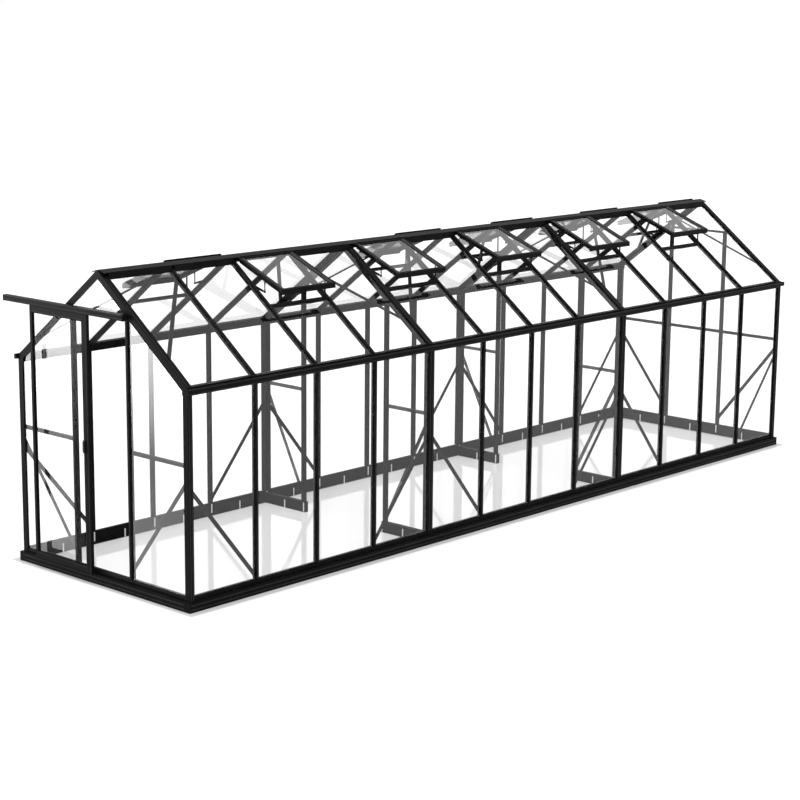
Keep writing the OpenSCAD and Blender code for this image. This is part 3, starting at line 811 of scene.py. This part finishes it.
def studio_white(name, colour, lift, gloss, lift_inside, gloss_inside):
    """Smooth white studio paint with a soft gloss. lift is the light added where the camera
    or glass looks at it, which keeps the floor white. It fades out in a band close to the base
    rails, which paints a contact shadow over their real one, and that painted shadow is narrower
    beside the gables. Inside the house the paint has less of that light and more gloss, so the
    frame shows in it."""
    gable_margin = 25 * MM
    under_rail = -60 * MM
    shadow_edge, shadow_end = 55 * MM, 90 * MM
    mat, tree, out = new_material(name)
    paint = add_node(tree, "ShaderNodeBsdfDiffuse", Color=from_hex(colour), Roughness=0.5)
    polish = add_node(tree, "ShaderNodeBsdfGlossy", Color=(1, 1, 1, 1), Roughness=0.06)
    place = add_node(tree, "ShaderNodeTexCoord").outputs["Object"]
    across = add_node(tree, "ShaderNodeSeparateXYZ", Vector=place)
    beyond = []
    for axis, half in (("X", house_half - gable_margin), ("Y", half_width)):
        size = add_node(tree, "ShaderNodeMath", {"operation": "ABSOLUTE"},
                        i0=across.outputs[axis])
        beyond.append(add_node(tree, "ShaderNodeMath", {"operation": "SUBTRACT"},
                               i0=size.outputs[0], i1=half).outputs[0])
    away = add_node(tree, "ShaderNodeMath", {"operation": "MAXIMUM"}, i0=beyond[0],
                    i1=beyond[1])
    shine = add_node(tree, "ShaderNodeMapRange", Value=away.outputs[0], From_Min=under_rail,
                     From_Max=0.0, To_Min=gloss_inside, To_Max=gloss)
    coat = add_node(tree, "ShaderNodeMixShader", i0=shine.outputs[0], i1=paint.outputs[0],
                    i2=polish.outputs[0])
    light = add_node(tree, "ShaderNodeMapRange", Value=away.outputs[0], From_Min=under_rail,
                     From_Max=0.0, To_Min=lift_inside, To_Max=lift)
    apart = add_node(tree, "ShaderNodeMath", {"operation": "ABSOLUTE"}, i0=away.outputs[0])
    # no added light in a band by the base rails: a painted contact shadow over the real one
    beyond_painted_shadow = add_node(tree, "ShaderNodeMapRange", {"interpolation_type": "SMOOTHSTEP"},
                          Value=apart.outputs[0], From_Min=shadow_edge,
                          From_Max=shadow_end)
    seen = add_node(tree, "ShaderNodeMath", {"operation": "MULTIPLY"}, i0=looks_on(tree),
                    i1=beyond_painted_shadow.outputs[0])
    amount = add_node(tree, "ShaderNodeMath", {"operation": "MULTIPLY"}, i0=seen.outputs[0],
                      i1=light.outputs[0])
    glow = add_node(tree, "ShaderNodeEmission", Color=(1, 1, 1, 1), Strength=amount.outputs[0])
    both = add_node(tree, "ShaderNodeAddShader", i0=coat.outputs[0], i1=glow.outputs[0])
    tree.links.new(both.outputs[0], out.inputs["Surface"])
    return mat


def glowing_card(name, low_z, high_z, low_glow, high_glow):
    """A card that glows, brighter towards its top as if lit from above: a painted reflection."""
    mat, tree, out = new_material(name)
    place = add_node(tree, "ShaderNodeTexCoord").outputs["Object"]
    height = add_node(tree, "ShaderNodeSeparateXYZ", Vector=place).outputs["Z"]
    level = add_node(tree, "ShaderNodeMapRange", Value=height, From_Min=low_z, From_Max=high_z,
                     To_Min=low_glow, To_Max=high_glow)
    glow = add_node(tree, "ShaderNodeEmission", Color=(1, 1, 1, 1), Strength=level.outputs[0])
    tree.links.new(glow.outputs[0], out.inputs["Surface"])
    return mat


bpy.ops.object.select_all(action="DESELECT")
bpy.ops.mesh.primitive_plane_add(size=400, location=(0, 0, -1 * MM))
floor = bpy.context.object
floor.name = "studio_floor"
floor.data.materials.append(studio_white("studio_floor_paint", "#EBEBEB", lift=0.42, gloss=0.12,
                                         lift_inside=0.27, gloss_inside=0.3))

# A glowing card stands beyond the door gable, for the gable's panes to reflect as a painted
# reflection. Nothing else sees it, and no light is aimed from it.
bpy.ops.object.select_all(action="DESELECT")
bpy.ops.mesh.primitive_plane_add(size=1, location=(-7.2, 6.6, 3.0),
                                 rotation=(0, math.radians(90), 0))
card = bpy.context.object
card.name = "glowing_reflection_card"
card.scale = (6.0, 9.0, 1)
bpy.ops.object.transform_apply(location=True, rotation=True, scale=True)
card.data.materials.append(glowing_card("glowing_card_painted_reflection", low_z=0.1, high_z=1.2,
                                        low_glow=1.2, high_glow=6.0))
card.active_material.cycles.emission_sampling = "NONE"
card.visible_camera = False
card.visible_diffuse = False
card.visible_shadow = False
card.visible_transmission = False

# the world lights the house at a little over half of the white that it shows
world = bpy.data.worlds.new("studio")
scene.world = world
world.use_nodes = True
sky = world.node_tree
sky.nodes.clear()
sky_out = sky.nodes.new("ShaderNodeOutputWorld")
level = add_node(sky, "ShaderNodeMapRange", Value=looks_on(sky), To_Min=0.6, To_Max=1.0)
glow = add_node(sky, "ShaderNodeBackground", Color=(1, 1, 1, 1), Strength=level.outputs[0])
sky.links.new(glow.outputs[0], sky_out.inputs["Surface"])


def soft_sun(name, strength, angle, heading, height):
    """A wide lamp far off; heading turns from +X towards +Y, all angles in degrees."""
    lamp = bpy.data.lights.new(name, "SUN")
    lamp.energy = strength
    lamp.angle = math.radians(angle)
    holder = bpy.data.objects.new(name, lamp)
    scene.collection.objects.link(holder)
    h, e = math.radians(heading), math.radians(height)
    come_from = Vector((math.cos(h) * math.cos(e), math.sin(h) * math.cos(e), math.sin(e)))
    holder.rotation_euler = come_from.to_track_quat("Z", "Y").to_euler()


soft_sun("overhead_softbox", strength=1.2, angle=60, heading=200, height=65)

# the camera stands off the door gable's near corner, a little under twice the house's height
eye = Vector((-14.179, -12.424, 4.773))
look = Vector((0.7220, 0.6633, -0.1990))
camera_roll = math.radians(0.52)
lens = bpy.data.cameras.new("main_camera")
lens.sensor_width = 36
lens.lens = 88.97
lens.clip_end = 500
camera = bpy.data.objects.new("main_camera", lens)
scene.collection.objects.link(camera)
turn = look.to_track_quat("-Z", "Y").to_matrix().to_4x4() @ Matrix.Rotation(camera_roll, 4, "Z")
camera.matrix_world = Matrix.Translation(eye) @ turn
scene.camera = camera
scene.view_settings.view_transform = "Standard"
# a look along the house passes through many panes
scene.cycles.transparent_max_bounces = 64
